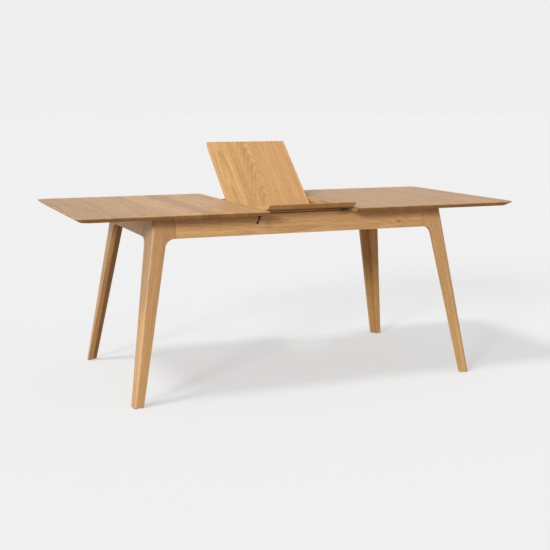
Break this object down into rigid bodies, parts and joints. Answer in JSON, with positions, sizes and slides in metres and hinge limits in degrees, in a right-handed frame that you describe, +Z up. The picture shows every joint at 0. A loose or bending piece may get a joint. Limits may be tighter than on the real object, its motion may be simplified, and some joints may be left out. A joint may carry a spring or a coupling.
{
  "type": "extendable dining table",
  "caption": "Oak dining table with splayed legs, half tops drawn apart on slides, and a folding butterfly leaf standing half open between them.",
  "frame": {"origin": "on the floor under the middle of the table", "axes": "+X along the table's length, +Y from the front towards the back, +Z up"},
  "size_m": [1.918, 0.898, 0.9962],
  "materials": {
    "top_oak": "matte oiled oak, grain across the table",
    "leaf_oak": "matte oiled oak, grain across the table",
    "frame_oak": "matte oiled oak",
    "inner_oak": "raw planed oak",
    "black_steel": "black coated steel, satin",
    "bright_steel": "zinc plated steel",
    "felt": "dense wool felt"
  },
  "bodies": {
    "base": {"apron_back": "frame_oak", "apron_front": "frame_oak", "apron_left": "frame_oak", "apron_right": "frame_oak", "corner_block_back_left": "inner_oak", "corner_block_back_right": "inner_oak", "corner_block_front_left": "inner_oak", "corner_block_front_right": "inner_oak", "corner_bolt_back_left": "bright_steel", "corner_bolt_back_right": "bright_steel", "corner_bolt_front_left": "bright_steel", "corner_bolt_front_right": "bright_steel", "cross_bearer_left": "inner_oak", "cross_bearer_right": "inner_oak", "foot_glide_back_left": "felt", "foot_glide_back_right": "felt", "foot_glide_front_left": "felt", "foot_glide_front_right": "felt", "leg_back_left_end_board": "frame_oak", "leg_back_left_long_board": "frame_oak", "leg_back_right_end_board": "frame_oak", "leg_back_right_long_board": "frame_oak", "leg_front_left_end_board": "frame_oak", "leg_front_left_long_board": "frame_oak", "leg_front_right_end_board": "frame_oak", "leg_front_right_long_board": "frame_oak", "pivot_bracket_left": "bright_steel", "pivot_bracket_right": "bright_steel", "pivot_pin_left": "bright_steel", "pivot_pin_right": "bright_steel", "slide_channel_back": "black_steel", "slide_channel_front": "black_steel"},
    "left_top": {"latch_pin_back": "bright_steel", "latch_pin_front": "bright_steel", "latch_plate_back": "black_steel", "latch_plate_front": "black_steel", "slide_runner_left_back": "black_steel", "slide_runner_left_front": "black_steel", "top_left": "top_oak", "top_left_batten_inner": "inner_oak", "top_left_batten_outer": "inner_oak"},
    "right_top": {"slide_runner_right_back": "black_steel", "slide_runner_right_front": "black_steel", "top_right": "top_oak", "top_right_batten_inner": "inner_oak", "top_right_batten_outer": "inner_oak"},
    "front_leaf": {"leaf_cleat_front": "inner_oak", "leaf_front": "leaf_oak", "leaf_hinge_front_1": "bright_steel", "leaf_hinge_front_2": "bright_steel", "leaf_hinge_front_3": "bright_steel", "pivot_lug_left": "bright_steel", "pivot_lug_right": "bright_steel"},
    "back_leaf": {"leaf_back": "leaf_oak", "leaf_cleat_back": "inner_oak", "leaf_hinge_back_1": "bright_steel", "leaf_hinge_back_2": "bright_steel", "leaf_hinge_back_3": "bright_steel"},
    "front_latch": {"latch_lever_front": "black_steel"},
    "back_latch": {"latch_lever_back": "black_steel"}
  },
  "joints": [
    {"name": "left_top_slide", "type": "slide", "parent": "base", "child": "left_top", "axis": [-1, 0, 0], "range_m": [0, 0.02]},
    {"name": "right_top_slide", "type": "slide", "parent": "base", "child": "right_top", "axis": [1, 0, 0], "range_m": [0, 0.02]},
    {"name": "leaf_tilt", "type": "hinge", "parent": "base", "child": "front_leaf", "pos_m": [0, -0.29, 0.716], "axis": [1, 0, 0], "range_deg": [-14.5, 9.6]},
    {"name": "leaf_fold", "type": "hinge", "parent": "front_leaf", "child": "back_leaf", "pos_m": [0, 0.00163, 0.70167], "axis": [1, 0, 0], "range_deg": [-50.5, 75]},
    {"name": "front_latch_swing", "type": "hinge", "parent": "left_top", "child": "front_latch", "pos_m": [-0.223, -0.413, 0.722], "axis": [0, 1, 0], "range_deg": [-110, 58]},
    {"name": "back_latch_swing", "type": "hinge", "parent": "left_top", "child": "back_latch", "pos_m": [-0.223, 0.413, 0.722], "axis": [0, 1, 0], "range_deg": [-110, 58]}
  ],
  "couplings": [
    {"joint": "leaf_tilt", "follows": "leaf_fold", "ratio": -0.18812}
  ]
}
